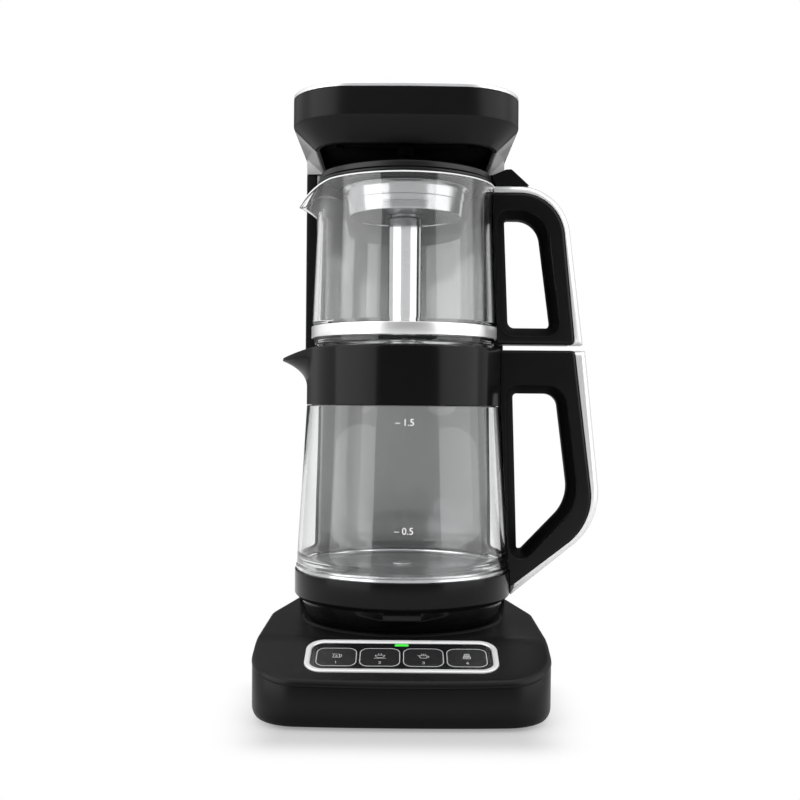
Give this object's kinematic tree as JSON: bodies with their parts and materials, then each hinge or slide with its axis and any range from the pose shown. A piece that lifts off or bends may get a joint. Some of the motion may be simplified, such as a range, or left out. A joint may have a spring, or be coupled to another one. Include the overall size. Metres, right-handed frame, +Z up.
{
  "type": "automatic tea maker",
  "caption": "Automatic tea maker: glass kettle with a glass teapot stacked on its collar, on a wedge base with press keys, under a head on a column that pours water through the lid",
  "frame": {"origin": "centre of the bounding box at the underside of the feet, on the table", "axes": "+Z up, -Y to the front where the keys are, +X to the side of the two handles"},
  "size_m": [0.234, 0.2514, 0.4119],
  "materials": {
    "black": "satin black moulded plastic",
    "gloss": "glossy black plate",
    "dark": "satin dark grey moulded plastic",
    "chrome": "polished bright plating",
    "silver": "satin silver-grey",
    "steel": "fine brushed",
    "glass": "clear, polished",
    "rubber": "matte black",
    "clear": "natural translucent moulding",
    "board": "green coated laminate",
    "lamp": "tinted lens"
  },
  "bodies": {
    "root": {"base_tray": "black", "base_top_cover": "black", "kettle_seat_ring": "black", "power_connector": "black", "column_shell": "black", "column_rear_cover": "black", "head_housing": "black", "head_top_cover": "black", "head_underside": "black", "panel_plate": "gloss", "pump_housing": "dark", "nozzle": "dark", "panel_bezel": "chrome", "head_rim": "chrome", "column_liner": "silver", "head_side_trim_left": "silver", "head_side_trim_right": "silver", "pump_motor": "steel", "underside_screw_left": "steel", "underside_screw_right": "steel", "foot_1": "rubber", "foot_2": "rubber", "foot_3": "rubber", "foot_4": "rubber", "cord_gland": "rubber", "key_mat": "clear", "water_coupling": "clear", "inlet_hose": "clear", "pump_outlet_pipe": "clear", "riser_pipe": "clear", "head_hose": "clear", "control_board": "board", "power_board": "board", "status_lamp": "lamp"},
    "kettle": {"kettle_ring": "black", "kettle_foot": "black", "kettle_floor_plate": "steel", "heating_element": "steel", "kettle_socket": "dark", "kettle_glass": "glass", "kettle_collar": "black", "kettle_handle": "black", "kettle_handle_strip": "chrome", "teapot_seal": "rubber"},
    "poppet": {"outlet_poppet": "steel"},
    "teapot": {"teapot_glass": "glass", "teapot_band": "chrome", "riser_tube": "steel", "infuser_cup": "steel", "teapot_handle": "black", "teapot_handle_strip": "chrome"},
    "lid_body": {"lid": "dark", "lid_seal": "rubber", "lid_thumb_tab": "black"},
    "rotor": {"pump_rotor": "steel"},
    "key_1_body": {"key_1": "black"},
    "key_2_body": {"key_2": "black"},
    "key_3_body": {"key_3": "black"},
    "key_4_body": {"key_4": "black"}
  },
  "joints": [
    {"name": "key_1_press", "type": "slide", "parent": "root", "child": "key_1_body", "axis": [0, 0.2924, -0.9563], "range_m": [0, 0.0011], "stiffness_N_per_m": 300},
    {"name": "key_2_press", "type": "slide", "parent": "root", "child": "key_2_body", "axis": [0, 0.2924, -0.9563], "range_m": [0, 0.0011], "stiffness_N_per_m": 300},
    {"name": "key_3_press", "type": "slide", "parent": "root", "child": "key_3_body", "axis": [0, 0.2924, -0.9563], "range_m": [0, 0.0011], "stiffness_N_per_m": 300},
    {"name": "key_4_press", "type": "slide", "parent": "root", "child": "key_4_body", "axis": [0, 0.2924, -0.9563], "range_m": [0, 0.0011], "stiffness_N_per_m": 300},
    {"name": "kettle_lift", "type": "slide", "parent": "root", "child": "kettle", "axis": [0, 0, 1], "range_m": [0, 0.006]},
    {"name": "poppet_lift", "type": "slide", "parent": "kettle", "child": "poppet", "axis": [0, 0, 1], "range_m": [0, 0.0015], "stiffness_N_per_m": 120},
    {"name": "teapot_lift", "type": "slide", "parent": "kettle", "child": "teapot", "axis": [0, 0, 1], "range_m": [0, 0.003]},
    {"name": "lid_lift", "type": "slide", "parent": "teapot", "child": "lid_body", "axis": [0, 0, 1], "range_m": [0, 0.0015]},
    {"name": "rotor_spin", "type": "hinge", "parent": "root", "child": "rotor", "pos_m": [-0.02204, 0.045, 0.0205], "axis": [0, 1, 0], "continuous": true}
  ]
}
